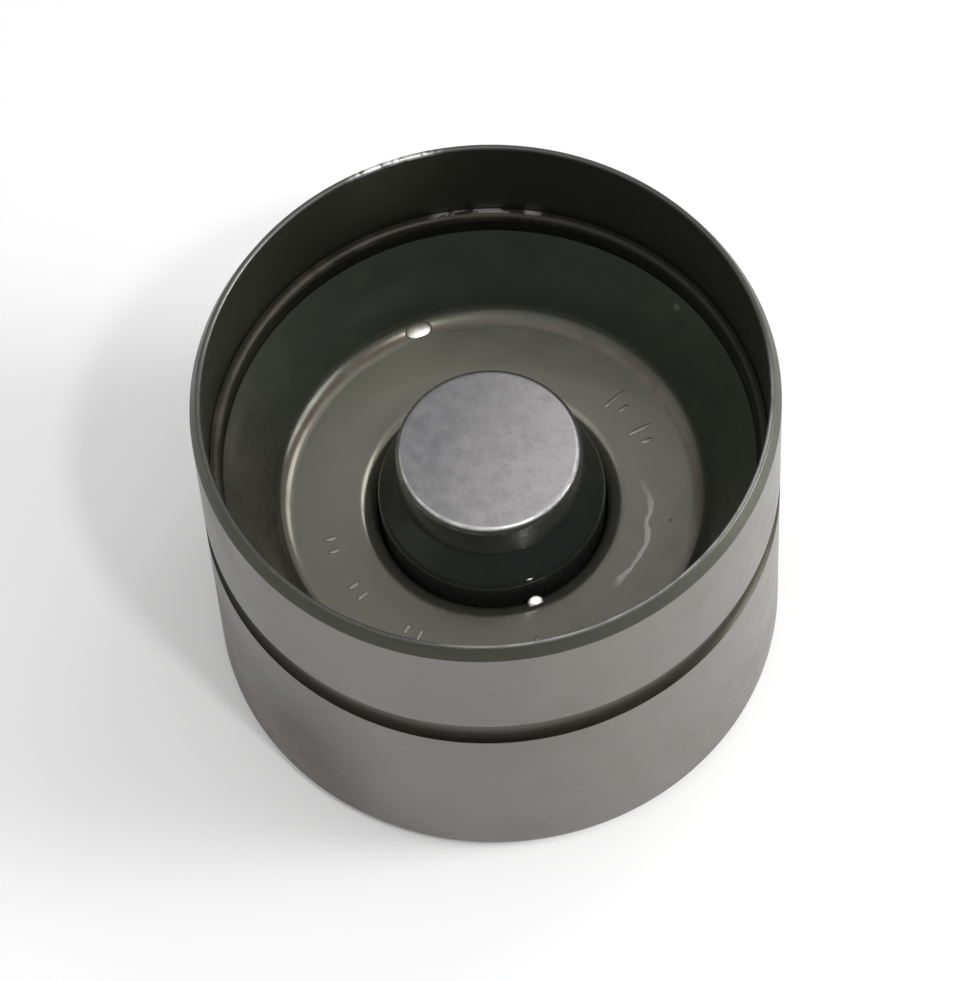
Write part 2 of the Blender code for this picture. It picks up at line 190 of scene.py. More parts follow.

# Painted highlights, light and shade near one azimuth: the azimuth, how far it reaches and how far
# it is full, each way
RIM_HIGHLIGHT = (105.5, 11, 5)
RIM_EDGE_HIGHLIGHT = (-50, 62, 32)
FOOT_SHADE_AND_DULL = (48, 70, 50)
CONE_LIGHT = (-140, 75, 25)
FLANGE_HIGHLIGHT = (86.7, 13, 9)

# Bead of dried oil on the web, along an arc that bows out round its middle azimuth
TRACE_RADIUS = 0.00978
TRACE_MIDDLE = math.radians(-25)
TRACE_BOW = 0.0026
TRACE_WAVE = 0.001
TRACE_HALF_WIDTH = (0.00006, 0.00023)
TRACE_START = (math.radians(-45), math.radians(-38))
TRACE_END = (math.radians(-12), math.radians(9))
TRACE_DROP = (0.0002, 0.0001)

# Floor, lamps and room. Here azimuth 0 is the camera's side, and it grows to the right
FLOOR_SIZE = 8.0
FLOOR_GREY = 0.86
LAMPS = (
    # name, azimuth, elevation, distance, size, power
    ("window", 138, 56, 0.35, 0.11, 0.085),
    ("right", 85, 30, 0.35, 0.2, 0.38),
    ("low", 85, 8, 0.35, 0.12, 1.15),
    ("left", -60, 55, 0.35, 0.6, 0.42),
    ("key", 35, 61, 0.45, 0.035, 0.36),
)
FLOOR_GLOW = 0.12
ROOM_DARK = (0.148, 0.15, 0.148)
ROOM_LIGHT = (0.576, 0.576, 0.576)
ROOM_LIGHT_SIDE = (0.5, 0.45, 0.74)
ROOM_RAMP = (-0.3, 0.8)


def make_camera(target):
    """A camera on the -Y side that looks down at the target, with its small pan, tilt and roll."""
    place = target + CAMERA_DISTANCE * Vector(
        (0, -math.cos(CAMERA_ELEVATION), math.sin(CAMERA_ELEVATION))
    )
    forward = Vector((0, math.cos(CAMERA_ELEVATION), -math.sin(CAMERA_ELEVATION)))
    right = Vector((1, 0, 0))
    up = right.cross(forward)
    for axis, angle in ((up, CAMERA_PAN), (right, CAMERA_TILT), (forward, CAMERA_ROLL)):
        turn = Matrix.Rotation(angle, 3, axis)
        forward = turn @ forward
        right = turn @ right
        up = turn @ up
    data = bpy.data.cameras.new("photo_view")
    data.sensor_fit = "HORIZONTAL"
    data.sensor_width = SENSOR_WIDTH
    data.lens = FOCAL_PIXELS * SENSOR_WIDTH / IMAGE_WIDTH
    data.clip_start, data.clip_end = CAMERA_CLIP
    camera = bpy.data.objects.new("photo_view", data)
    bpy.context.scene.collection.objects.link(camera)
    basis = Matrix((right, up, -forward)).transposed().to_4x4()
    camera.matrix_world = Matrix.Translation(place) @ basis
    bpy.context.scene.camera = camera


class Look:
    """The nodes of one material, added and linked by short calls."""

    def __init__(self, name, **constants):
        self.material = bpy.data.materials.new(name)
        self.material.use_nodes = True
        self.tree = self.material.node_tree
        self.shader = self.tree.nodes["Principled BSDF"]
        self.shader.inputs["Metallic"].default_value = 1.0
        for socket, value in constants.items():
            self.shader.inputs[socket.replace("_", " ")].default_value = value
        self.place = self.node("ShaderNodeTexCoord").outputs["Object"]
        self.x, self.y, self.z = self.node("ShaderNodeSeparateXYZ", Vector=self.place).outputs
        squares = self.math("ADD", self.math("POWER", self.x, 2.0), self.math("POWER", self.y, 2.0))
        self.radius = self.math("SQRT", squares)

    def feed(self, socket, value):
        """Links a socket to another, or gives it a value."""
        if isinstance(value, bpy.types.NodeSocket):
            self.tree.links.new(value, socket)
        else:
            socket.default_value = value

    def node(self, kind, settings=None, **inputs):
        made = self.tree.nodes.new(kind)
        for name, value in (settings or {}).items():
            setattr(made, name, value)
        for name, value in inputs.items():
            self.feed(made.inputs[name.replace("_", " ")], value)
        return made

    def math(self, operation, first, second=0.0):
        made = self.node("ShaderNodeMath", {"operation": operation})
        self.feed(made.inputs[0], first)
        self.feed(made.inputs[1], second)
        return made.outputs[0]

    def times(self, first, second):
        return self.math("MULTIPLY", first, second)

    def noise(self, scale, vector=None, detail=2.0, roughness=0.5):
        vector = vector or self.place
        made = self.node(
            "ShaderNodeTexNoise", Vector=vector, Scale=scale, Detail=detail, Roughness=roughness
        )
        return made.outputs["Fac"]

    def remap(self, value, start, end, low=0.0, high=1.0):
        """The value's smooth rise from low at start to high at end."""
        made = self.node(
            "ShaderNodeMapRange", {"interpolation_type": "SMOOTHSTEP"},
            Value=value, From_Min=start, From_Max=end, To_Min=low, To_Max=high,
        )
        return made.outputs["Result"]

    def blend(self, factor, first, second):
        """The first colour where the factor is 0, the second where it is 1."""
        made = self.node("ShaderNodeMix", {"data_type": "RGBA"})
        self.feed(made.inputs[0], factor)
        for socket, colour in ((made.inputs[6], first), (made.inputs[7], second)):
            linked = isinstance(colour, bpy.types.NodeSocket)
            self.feed(socket, colour if linked else (*colour, 1))
        return made.outputs[2]

    def around(self, waves, lines):
        """A vector in which noise runs in lines round the axis, on walls and flat faces alike."""
        made = self.node("ShaderNodeCombineXYZ")
        for index, value in enumerate((self.x, self.y)):
            share = self.math("DIVIDE", value, self.radius)
            self.feed(made.inputs[index], self.times(share, waves))
        across = self.math("ADD", self.z, self.radius)
        self.feed(made.inputs[2], self.times(across, lines))
        return made.outputs[0]

    def facing(self, azimuth, reach, full):
        """1 round the axis near the azimuth, fading to 0. All angles in degrees."""
        angle = math.radians(azimuth)
        along_x = self.times(self.x, math.cos(angle))
        dot = self.math("ADD", along_x, self.times(self.y, math.sin(angle)))
        share = self.math("DIVIDE", dot, self.radius)
        return self.remap(share, math.cos(math.radians(reach)), math.cos(math.radians(full)))

    def bump(self, height, distance, strength=1.0, normal=None):
        made = self.node("ShaderNodeBump", Strength=strength, Distance=distance, Height=height)
        if normal:
            self.feed(made.inputs["Normal"], normal)
        return made.outputs["Normal"]

    def finish(self, colour, roughness, normal=None):
        self.feed(self.shader.inputs["Base Color"], colour)
        self.feed(self.shader.inputs["Roughness"], roughness)
        if normal:
            self.feed(self.shader.inputs["Normal"], normal)
        return self.material


def ground_steel():
    """The skirt's centreless-ground steel: fine lines round it, faint handling marks, and brown
    painted shade low on the left, where the skirt reflects the shadowed floor."""
    look = Look("ground_steel", Metallic=0.82)
    lines = look.noise(1.0, look.around(7, 9000), detail=3)
    cloud = look.noise(160, detail=3)
    smudge = look.remap(look.noise(95, detail=4, roughness=0.6), 0.5, 0.72)
    colour = look.blend(cloud, (0.153, 0.15, 0.135), (0.186, 0.181, 0.165))
    colour = look.blend(look.times(lines, 0.3), colour, (0.218, 0.213, 0.198))
    colour = look.blend(look.times(smudge, 0.25), colour, (0.15, 0.139, 0.125))
    # painted shade: brown darkening low on the skirt's left, standing for the shadowed floor it
    # reflects
    painted_shade = look.times(look.remap(look.x, *SKIRT_SHADE_X), look.remap(look.z, *SKIRT_SHADE_Z))
    painted_shade = look.times(painted_shade, look.remap(look.y, *SKIRT_SHADE_Y))
    broken = look.remap(look.noise(120, detail=4, roughness=0.6), 0.3, 0.55, 0.55, 1.0)
    colour = look.blend(look.times(painted_shade, broken), colour, (0.066, 0.047, 0.037))
    lined = look.remap(lines, 0.3, 0.7, 0.32, 0.4)
    roughness = look.math("ADD", lined, look.times(smudge, 0.08))
    return look.finish(colour, roughness, look.bump(lines, 1.0e-6))


def rim_steel():
    """The rim: dull, with painted highlights in broken bright patches at the back and along its
    inner edge in front."""
    look = Look("rim_steel", Metallic=0.9)
    cloud = look.noise(700, detail=3)
    colour = look.blend(cloud, (0.085, 0.088, 0.08), (0.13, 0.132, 0.122))
    # painted highlight: broken bright patches near one azimuth at the back
    broken = look.remap(look.noise(1500, detail=3), 0.4, 0.56)
    lit_patch = look.times(look.facing(*RIM_HIGHLIGHT), broken)
    colour = look.blend(lit_patch, colour, (0.8, 0.8, 0.79))
    # painted highlight: a bright line along the inner edge in front
    edge_highlight = look.facing(*RIM_EDGE_HIGHLIGHT)
    edge_highlight = look.times(edge_highlight, look.remap(look.noise(900, detail=3), 0.3, 0.6, 0.5, 1.0))
    edge_highlight = look.times(edge_highlight, look.remap(look.radius, *RIM_EDGE_HIGHLIGHT_RADII))
    colour = look.blend(edge_highlight, colour, (0.58, 0.58, 0.565))
    return look.finish(colour, look.remap(cloud, 0.3, 0.7, 0.36, 0.46), look.bump(cloud, 4e-6))


def groove_steel():
    """The oil groove: turned, not ground, with painted shade that deepens towards its lower
    lip."""
    look = Look("groove_steel")
    lines = look.noise(1.0, look.around(5, 5200), detail=2)
    # painted shade in the recess, darkest at the lower lip
    shade_deepest, shade_faintest = (GROOVE_HEIGHT - GROOVE_WIDTH / 2 + above for above in GROOVE_SHADE_ABOVE_LIP)
    groove_shade = look.remap(look.z, shade_deepest, shade_faintest, 1.0, 0.0)
    colour = look.blend(groove_shade, (0.14, 0.136, 0.122), (0.03, 0.029, 0.023))
    return look.finish(colour, look.remap(lines, 0.3, 0.7, 0.36, 0.46), look.bump(lines, 2e-6))


def dark_steel(name, dark, light):
    """Unground steel of the chamfer or the inside: darker, with turning marks."""
    look = Look(name, Metallic=0.85)
    lines = look.noise(1.0, look.around(5, 5200), detail=2)
    cloud = look.noise(210, detail=3)
    colour = look.blend(cloud, dark, light)
    roughness = look.remap(look.math("ADD", lines, cloud), 0.6, 1.4, 0.36, 0.5)
    return look.finish(colour, roughness, look.bump(lines, 2e-6))


def insert_steel():
    """Pressed and hardened sheet under a film of oil: olive grey, painted lighter towards the back,
    greener on its cone but with painted light on it at the front left, with bronze tints along the
    cone's foot and painted shade on the foot at the right back, and glossier in the bends where oil
    gathers."""
    look = Look("insert_steel", Metallic=0.68, Coat_Weight=0.7, Coat_Roughness=0.1)
    cloud = look.noise(260, detail=3)
    patch = look.remap(look.noise(420, detail=3, roughness=0.6), 0.42, 0.68)
    fine = look.noise(5200, detail=2)
    # painted light: the web is lighter towards the back, where the wall shades it
    back = look.remap(look.y, *WEB_LIGHT_Y)
    colour = look.blend(back, (0.148, 0.145, 0.118), (0.262, 0.257, 0.208))
    colour = look.blend(look.times(cloud, 0.5), colour, (0.18, 0.177, 0.146))

    foot_start = look.remap(look.radius, *FOOT_START_RADII)
    foot = look.times(foot_start, look.remap(look.radius, *FOOT_END_RADII, 1.0, 0.0))
    tint = look.remap(look.radius, *FOOT_TINT_RADII)
    tint = look.times(tint, look.remap(patch, 0.0, 1.0, 0.5, 0.95))
    colour = look.blend(tint, colour, (0.108, 0.073, 0.052))
    # painted shade on the foot at the right back, where it is also kept less glossy
    dull_and_shaded = look.times(foot, look.facing(*FOOT_SHADE_AND_DULL))
    colour = look.blend(look.times(dull_and_shaded, 0.7), colour, (0.066, 0.046, 0.035))

    cone = look.remap(look.radius, *CONE_RADII)
    # painted light: the cone's green is weaker near the front left, where a bright line passes
    lit_patch = look.times(look.facing(*CONE_LIGHT), 0.5)
    cone = look.times(cone, look.math("SUBTRACT", 1.0, lit_patch))
    colour = look.blend(look.times(cone, 0.9), colour, (0.073, 0.087, 0.067))

    trace = oil_trace(look)
    colour = look.blend(look.times(trace, 0.75), colour, (0.42, 0.41, 0.39))
    speck = specks(look, 750, 0.12, 0.12)
    colour = look.blend(look.times(speck, 0.7), colour, (0.05, 0.045, 0.04))
    crumb = specks(look, 420, 0.13, 0.1)
    colour = look.blend(look.times(crumb, 0.45), colour, (0.36, 0.35, 0.27))

    roughness = look.remap(look.math("ADD", cloud, patch), 0.4, 1.5, 0.36, 0.46)
    collar = look.remap(look.radius, *COLLAR_RADII, 1.0, 0.0)
    shiny = look.math("ADD", look.math("SUBTRACT", foot, dull_and_shaded), collar)
    roughness = look.math("SUBTRACT", roughness, look.times(shiny, 0.19))
    normal = look.bump(fine, 1.0e-6)
    normal = look.bump(trace, 2.0e-5, normal=normal)
    return look.finish(colour, roughness, normal)


def flange_steel():
    """The insert's rim: its edge dull and bronzed, painted darker towards the right as shade, with
    painted highlights in broken patches at the back, and painted shadow that makes the short wall
    under it nearly black."""
    look = Look("flange_steel", Metallic=0.8)
    patch = look.remap(look.noise(420, detail=3, roughness=0.6), 0.42, 0.68)
    colour = look.blend(patch, (0.045, 0.042, 0.034), (0.084, 0.073, 0.06))
    # painted shade: the rim darkens towards the right
    colour = look.blend(look.remap(look.x, *FLANGE_SHADE_X), colour, (0.03, 0.031, 0.025))
    # painted highlight: broken bright patches on the rim's top at the back
    broken = look.remap(look.noise(1000, detail=2), 0.4, 0.52)
    lit_patch = look.times(look.facing(*FLANGE_HIGHLIGHT), broken)
    lit_patch = look.times(lit_patch, look.remap(look.radius, *FLANGE_HIGHLIGHT_RADII))
    colour = look.blend(lit_patch, colour, (0.5, 0.49, 0.46))
    # painted shadow: the short wall under the rim's edge is nearly black
    edge = look.remap(look.z, *(RIM_HEIGHT - drop for drop in FLANGE_SHADOW_DROP))
    colour = look.blend(edge, (0.014, 0.014, 0.011), colour)
    return look.finish(colour, look.remap(patch, 0.0, 1.0, 0.44, 0.54), look.bump(patch, 4e-6))


def specks(look, scale, reach, share):
    """Small round spots, in about this share of the cells of a grid of scale cells a metre."""
    cells = look.node("ShaderNodeTexVoronoi", Vector=look.place, Scale=scale)
    draw = look.node("ShaderNodeSeparateColor", Color=cells.outputs["Color"]).outputs[0]
    chosen = look.math("LESS_THAN", draw, share)
    return look.times(look.remap(cells.outputs["Distance"], reach, reach * 0.6), chosen)


def oil_trace(look):
    """A wavy bead of dried oil on the right of the web."""
    angle = look.math("ARCTAN2", look.y, look.x)
    turn = look.math("ADD", angle, -TRACE_MIDDLE)
    bow = look.times(look.times(turn, turn), TRACE_BOW)
    wave = look.times(look.math("SUBTRACT", look.noise(650, detail=2), 0.5), TRACE_WAVE)
    path = look.math("SUBTRACT", look.math("ADD", wave, TRACE_RADIUS), bow)
    gap = look.math("ABSOLUTE", look.math("SUBTRACT", look.radius, path))
    line = look.remap(gap, *TRACE_HALF_WIDTH, 1.0, 0.0)
    start = look.remap(angle, *TRACE_START)
    end = look.remap(angle, *TRACE_END, 1.0, 0.0)
    flat = look.remap(look.z, *(WEB_HEIGHT - drop for drop in TRACE_DROP))
    return look.times(look.times(line, flat), look.times(start, end))


def mark_steel():
    """The struck strokes, a little brighter than the sheet."""
    look = Look("mark_steel", Metallic=0.8)
    cloud = look.noise(3000, detail=2)
    colour = look.blend(cloud, (0.23, 0.227, 0.205), (0.36, 0.355, 0.33))
    return look.finish(colour, look.remap(cloud, 0.3, 0.7, 0.28, 0.42))


def oil():
    """Dark engine oil, glossy enough to mirror a lamp."""
    look = Look("oil", Metallic=0.3, IOR=1.47)
    cloud = look.noise(900, detail=2)
    colour = look.blend(cloud, (0.045, 0.042, 0.03), (0.07, 0.066, 0.05))
    return look.finish(colour, look.remap(cloud, 0.3, 0.7, 0.13, 0.17))


def housing_steel():
    """Hardened sides of the inner housing: dark, greenish and wet with oil."""
    look = Look("housing_steel", Metallic=0.45, Coat_Weight=0.5, Coat_Roughness=0.13)
    lines = look.noise(1.0, look.around(6, 7000), detail=2)
    cloud = look.noise(420, detail=3)
    colour = look.blend(cloud, (0.04, 0.047, 0.04), (0.06, 0.067, 0.056))
    roughness = look.remap(look.math("ADD", lines, cloud), 0.6, 1.4, 0.2, 0.3)
    return look.finish(colour, roughness, look.bump(lines, 1.0e-6))


def edge_steel():
    """The rounded edge of the end face, rubbed bright."""
    look = Look("edge_steel")
    wear = look.remap(look.noise(1300, detail=3), 0.35, 0.65)
    colour = look.blend(wear, (0.42, 0.42, 0.415), (0.62, 0.62, 0.61))
    return look.finish(colour, look.remap(wear, 0.0, 1.0, 0.4, 0.32), look.bump(wear, 2e-6))


def face_steel():
    """The housing's end face: ground matt, with a blotchy mottle, and painted lighter towards one
    side as light falling across it."""
    look = Look("face_steel")
    mottle = look.noise(1150, detail=4, roughness=0.6)
    grain = look.noise(9000, detail=2)
    cloud = look.noise(300, detail=2)
    colour = look.blend(look.remap(mottle, 0.3, 0.7), (0.25, 0.246, 0.257), (0.325, 0.318, 0.328))
    colour = look.blend(look.times(cloud, 0.3), colour, (0.28, 0.28, 0.275))
    # painted light: the face grows lighter across one side
    across = look.math("SUBTRACT", look.x, look.times(look.y, FACE_LIGHT_LEAN))
    across = look.math("ADD", across, look.times(cloud, 0.002))
    light_side = look.remap(across, *FACE_LIGHT_SPAN)
    colour = look.blend(look.times(light_side, 0.85), colour, (0.535, 0.518, 0.521))
    blotch = look.remap(look.noise(1500, detail=3, roughness=0.7), 0.46, 0.66)
    colour = look.blend(look.times(blotch, 0.3), colour, (0.27, 0.264, 0.272))
    speck = specks(look, 1700, 0.16, 0.07)
    colour = look.blend(look.times(speck, 0.35), colour, (0.16, 0.15, 0.155))
    return look.finish(colour, look.remap(mottle, 0.3, 0.7, 0.34, 0.44), look.bump(grain, 2.0e-6))


def inner_steel(name, dark, light, smooth, rough, lines):
    """Steel of a piece inside the element, with lines round the axis and an oily sheen."""
    look = Look(name, Coat_Weight=0.2, Coat_Roughness=0.1)
    streaks = look.noise(1.0, look.around(6, lines), detail=2)
    colour = look.blend(look.noise(500, detail=2), dark, light)
    roughness = look.remap(streaks, 0.3, 0.7, smooth, rough)
    return look.finish(colour, roughness, look.bump(streaks, 8e-7))


def arc_at(corner, before, after, radius, back_share, ahead_share):
    """Points of the arc that blends a corner, within its shares of the two sides it joins."""
    point = Vector(corner)
    back = Vector(before) - point
    ahead = Vector(after) - point
    half = back.angle(ahead) / 2
    if radius <= 0 or half > STRAIGHT_HALF_ANGLE:
        return [point]
    reach = min(radius / math.tan(half), back_share * back.length, ahead_share * ahead.length)
    radius = reach * math.tan(half)
    inward = (back.normalized() + ahead.normalized()).normalized()
    middle = point + inward * radius / math.sin(half)
    start = point + back.normalized() * reach - middle
    turn = start.angle_signed(point + ahead.normalized() * reach - middle)
    steps = max(1, math.ceil(abs(turn) / ARC_STEP))
    angles = [-turn * step / steps for step in range(steps + 1)]
    return [
        middle + Vector((start.x * math.cos(a) - start.y * math.sin(a),
                         start.x * math.sin(a) + start.y * math.cos(a)))
        for a in angles
    ]


def rounded(corners, closed):
    """Outline through (radius from the axis, height, corner radius), with the corners blended."""
    points = []
    count = len(corners)
    for index, (r, z, radius) in enumerate(corners):
        if not closed and index in (0, count - 1):
            points.append(Vector((r, z)))
            continue
        before = corners[index - 1]
        after = corners[(index + 1) % count]
        shares = [
            CORNER_SHARE * radius / max(radius + other[2], MERGE_DISTANCE)
            for other in (before, after)
        ]
        points.extend(arc_at((r, z), before[:2], after[:2], radius, *shares))
    return points


def offset_path(path, distance):
    """The path shifted to its right by the distance. A bend keeps its centre."""
    lines = []
    for start, end in zip(path, path[1:]):
        along = (Vector(end[:2]) - Vector(start[:2])).normalized()
        side = Vector((along.y, -along.x)) * distance
        lines.append((Vector(start[:2]) + side, along))
    shifted = [(*lines[0][0], path[0][2])]
    for (point, along), (other, other_along), corner in zip(lines, lines[1:], path[1:]):
        cross = along.x * other_along.y - along.y * other_along.x
        gap = other - point
        reach = (gap.x * other_along.y - gap.y * other_along.x) / cross
        radius = max(0.0, corner[2] - math.copysign(distance, cross))
        shifted.append((*(point + along * reach), radius))
    last = Vector(path[-1][:2]) + Vector((lines[-1][1].y, -lines[-1][1].x)) * distance
    shifted.append((*last, path[-1][2]))
    return shifted


def link(name, mesh):
    obj = bpy.data.objects.new(name, mesh)
    bpy.context.scene.collection.objects.link(obj)
    return obj


def turned_skin(name, points, closed, looks, zone):
    """An outline turned about the Z axis. zone names the look of a face by its centre."""
    shape = bmesh.new()
    corners = [shape.verts.new((p[0], 0, p[1])) for p in points]
    sides = [shape.edges.new(pair) for pair in zip(corners, corners[1:])]
    if closed:
        sides.append(shape.edges.new((corners[-1], corners[0])))
    bmesh.ops.spin(
        shape, geom=corners + sides, cent=(0, 0, 0), axis=(0, 0, 1), angle=math.tau,
        steps=SKIN_STEPS, use_merge=True,
    )
    bmesh.ops.remove_doubles(shape, verts=shape.verts, dist=MERGE_DISTANCE)
    bmesh.ops.recalc_face_normals(shape, faces=shape.faces)
    names = list(looks)
    for face in shape.faces:
        centre = face.calc_center_median()
        face.material_index = names.index(zone(math.hypot(centre.x, centre.y), centre.z))
    mesh = bpy.data.meshes.new(name)
    shape.to_mesh(mesh)
    shape.free()
    for look in looks.values():
        mesh.materials.append(look)
    return link(name, mesh)


def smooth(obj):
    obj.data.shade_smooth()
    obj.data.set_sharp_from_angle(angle=SHARP_ANGLE)
    weighted = obj.modifiers.new("Weighted normals", "WEIGHTED_NORMAL")
    weighted.keep_sharp = True


def cut(obj, cutter):
    """Takes the cutter's shape and any sliver out of the mesh, and removes the cutter."""
    boolean = obj.modifiers.new("Cut", "BOOLEAN")
    boolean.solver = "EXACT"
    boolean.object = cutter
    graph = bpy.context.evaluated_depsgraph_get()
    mesh = bpy.data.meshes.new_from_object(obj.evaluated_get(graph))
    shape = bmesh.new()
    shape.from_mesh(mesh)
    bmesh.ops.dissolve_degenerate(shape, dist=MERGE_DISTANCE, edges=shape.edges)
    shape.to_mesh(mesh)
    shape.free()
    obj.modifiers.clear()
    obj.data = mesh
    bpy.data.objects.remove(cutter)


def rod_cutter(radius, length, place):
    """A round cutter that lies along Y."""
    mesh = bpy.data.meshes.new("rod_cutter")
    shape = bmesh.new()
    bmesh.ops.create_cone(
        shape, cap_ends=True, segments=HOLE_STEPS, radius1=radius, radius2=radius, depth=length
    )
    bmesh.ops.rotate(shape, verts=shape.verts, matrix=Matrix.Rotation(math.pi / 2, 3, "X"))
    bmesh.ops.translate(shape, verts=shape.verts, vec=place)
    shape.to_mesh(mesh)
    shape.free()
    return link("rod_cutter", mesh)


def pocket_cutter():
    """The round-ended slot in the crown's inside, under the guide sleeve."""
    half = POCKET_WIDTH / 2
    depth = CROWN_THICKNESS - POCKET_DEPTH
    shape = bmesh.new()
    corners = []
    for middle, first in ((POCKET_END - half, -90), (POCKET_START + half, 90)):
        for step in range(POCKET_END_STEPS + 1):
            angle = math.radians(first + 180 / POCKET_END_STEPS * step)
            place = (middle + half * math.cos(angle), half * math.sin(angle), depth)
            corners.append(shape.verts.new(place))
    floor = shape.faces.new(corners)
    raised = bmesh.ops.extrude_face_region(shape, geom=[floor])["geom"]
    tops = [item for item in raised if isinstance(item, bmesh.types.BMVert)]
    bmesh.ops.translate(shape, verts=tops, vec=(0, 0, 2 * POCKET_DEPTH))
    bmesh.ops.recalc_face_normals(shape, faces=shape.faces)
    mesh = bpy.data.meshes.new("pocket_cutter")
    shape.to_mesh(mesh)
    shape.free()
    return link("pocket_cutter", mesh)


def insert_path(rim_height, foot_height, flange_radius, bore_radius):
    """The insert's surface on the mouth side, from its rim down to the end of its sleeve."""
    flange_foot = rim_height - FLANGE_LENGTH
    corner = flange_radius - (flange_foot - WEB_HEIGHT) * math.tan(CONE_ANGLE)
    return [
        (flange_radius, rim_height, FLANGE_EDGE_RADIUS),
        (flange_radius, flange_foot, FLANGE_BEND),
        (corner, WEB_HEIGHT, WEB_FILLET),
        (bore_radius, WEB_HEIGHT, COLLAR_BEND),
        (bore_radius, foot_height, 0.0),
    ]


def groove_arc(bucket_radius):
    """Corners of the groove's concave section, from its upper lip to its lower lip."""
    half = GROOVE_WIDTH / 2
    radius = (half**2 + GROOVE_DEPTH**2) / (2 * GROOVE_DEPTH)
    centre = bucket_radius - GROOVE_DEPTH + radius
    reach = math.asin(half / radius)
    steps = math.ceil(2 * reach / ARC_STEP)
    angles = [reach - 2 * reach * step / steps for step in range(steps + 1)]
    return [
        (centre - radius * math.cos(a), GROOVE_HEIGHT + radius * math.sin(a), 0.0) for a in angles
    ]


def make_shell(looks, path):
    """The cup: bright where it is ground, dark on the chamfer, and with painted shade in the groove
    and inside.
    """
    low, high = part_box("bucket_shell")
    radius = high.x
    height = high.z
    body = radius - BODY_WALL
    mouth = radius - MOUTH_WALL
    top, foot = offset_path(path, -SHEET_THICKNESS - FIT_GAP)[1:3]
    slope = (top[1] - foot[1]) / (top[0] - foot[0])
    seat_low = top[1] - (top[0] - body) * slope
    chamfer_foot = height - RIM_CHAMFER_HEIGHT
    outline = rounded(
        [
            (0.0, CROWN_THICKNESS, 0.0),
            (body, CROWN_THICKNESS, CROWN_FILLET),
            (body, seat_low, 0.0),
            (mouth, top[1], 0.0),
            (mouth, height, RIM_INNER_EDGE),
            (mouth + RIM_LAND, height, RIM_OUTER_EDGE),
            (radius, chamfer_foot, CHAMFER_EDGE),
            *groove_arc(radius),
            (radius, low.z, CROWN_EDGE_RADIUS),
            (0.0, low.z, 0.0),
        ],
        closed=False,
    )

    def zone(r, z):
        beside_groove = abs(z - GROOVE_HEIGHT) < GROOVE_WIDTH / 2
        if beside_groove and body + FLAT_TOLERANCE < r < radius - FLAT_TOLERANCE:
            return "groove"
        outside = r > mouth + RIM_LAND
        if z > height - RIM_OUTER_EDGE or (z > height - RIM_INNER_EDGE and not outside):
            return "rim"
        if r > radius - FLAT_TOLERANCE or z < CROWN_EDGE_RADIUS:
            return "ground"
        return "chamfer" if outside and z > chamfer_foot - CHAMFER_EDGE else "inside"

    skin = turned_skin("shell_skin", outline, False, looks, zone)
    hole = (0, (radius + body) / 2, GROOVE_HEIGHT - FEED_HOLE_DROP)
    cut(skin, rod_cutter(FEED_HOLE_DIAMETER / 2, 4 * BODY_WALL, hole))
    cut(skin, pocket_cutter())
    smooth(skin)
    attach(skin, "bucket")
    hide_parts("bucket_shell")


def make_insert(looks, path):
    """The pressed sheet, with its rim seated against the skirt's wall."""
    crown_side = offset_path(path, -SHEET_THICKNESS)
    rim = (*crown_side[0][:2], 0.0)
    outline = rounded([rim, *crown_side[1:], *reversed(path)], closed=True)
    flange_end = RIM_HEIGHT - FLANGE_LENGTH - FLANGE_BEND / 4
    skin = turned_skin(
        "insert_skin", outline, True, looks, lambda r, z: "flange" if z > flange_end else "sheet"
    )
    smooth(skin)
    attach(skin, "bucket")
    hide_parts("guide_insert")


def make_housing(looks):
    """The element's housing: a ground end face on hardened sides."""
    low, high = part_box("inner_housing")
    radius = high.x
    face = high.z
    foot = low.z
    tip = TIP_DIAMETER / 2
    neck = face - TIP_LENGTH
    bore = radius - HOUSING_WALL
    chamfer = HOUSING_CHAMFER
    outline = rounded(
        [
            (0.0, face, 0.0),
            (tip, face, TIP_EDGE_RADIUS),
            (tip, neck, NECK_RADIUS),
            (radius, neck - SHOULDER_LENGTH, SHOULDER_RADIUS),
            (radius, foot + chamfer, 0.0),
            (radius - chamfer, foot, 0.0),
            (bore + chamfer, foot, 0.0),
            (bore, foot + chamfer, 0.0),
            (bore, BORE_END_HEIGHT, 0.0),
            (SPRING_POCKET_RADIUS, BORE_END_HEIGHT, 0.0),
            (SPRING_POCKET_RADIUS, SPRING_SEAT_HEIGHT, 0.0),
            (0.0, SPRING_SEAT_HEIGHT, 0.0),
        ],
        closed=False,
    )

    def zone(r, z):
        if z > face - FLAT_TOLERANCE:
            return "face"
        return "edge" if z > face - TIP_EDGE_RADIUS else "sides"

    skin = turned_skin("housing_skin", outline, False, looks, zone)
    smooth(skin)
    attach(skin, "housing")
    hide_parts("inner_housing")


def make_marks(look):
    """Short struck strokes along radii of the web, as low beads that catch the light."""
    shape = bmesh.new()
    for azimuth, length in MARKS:
        angle = math.radians(azimuth)
        around, along = MARK_STEPS
        bead = bmesh.ops.create_uvsphere(
            shape, u_segments=around, v_segments=along, radius=0.5
        )["verts"]
        bmesh.ops.scale(shape, verts=bead, vec=(length, MARK_WIDTH, 2 * MARK_HEIGHT))
        bmesh.ops.rotate(shape, verts=bead, matrix=Matrix.Rotation(angle, 3, "Z"))
        place = (MARK_RADIUS * math.cos(angle), MARK_RADIUS * math.sin(angle), WEB_HEIGHT)
        bmesh.ops.translate(shape, verts=bead, vec=place)
    mesh = bpy.data.meshes.new("web_marks")
    shape.to_mesh(mesh)
    shape.free()
    mesh.materials.append(look)
    marks = link("web_marks", mesh)
    marks.data.shade_smooth()
    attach(marks, "bucket")


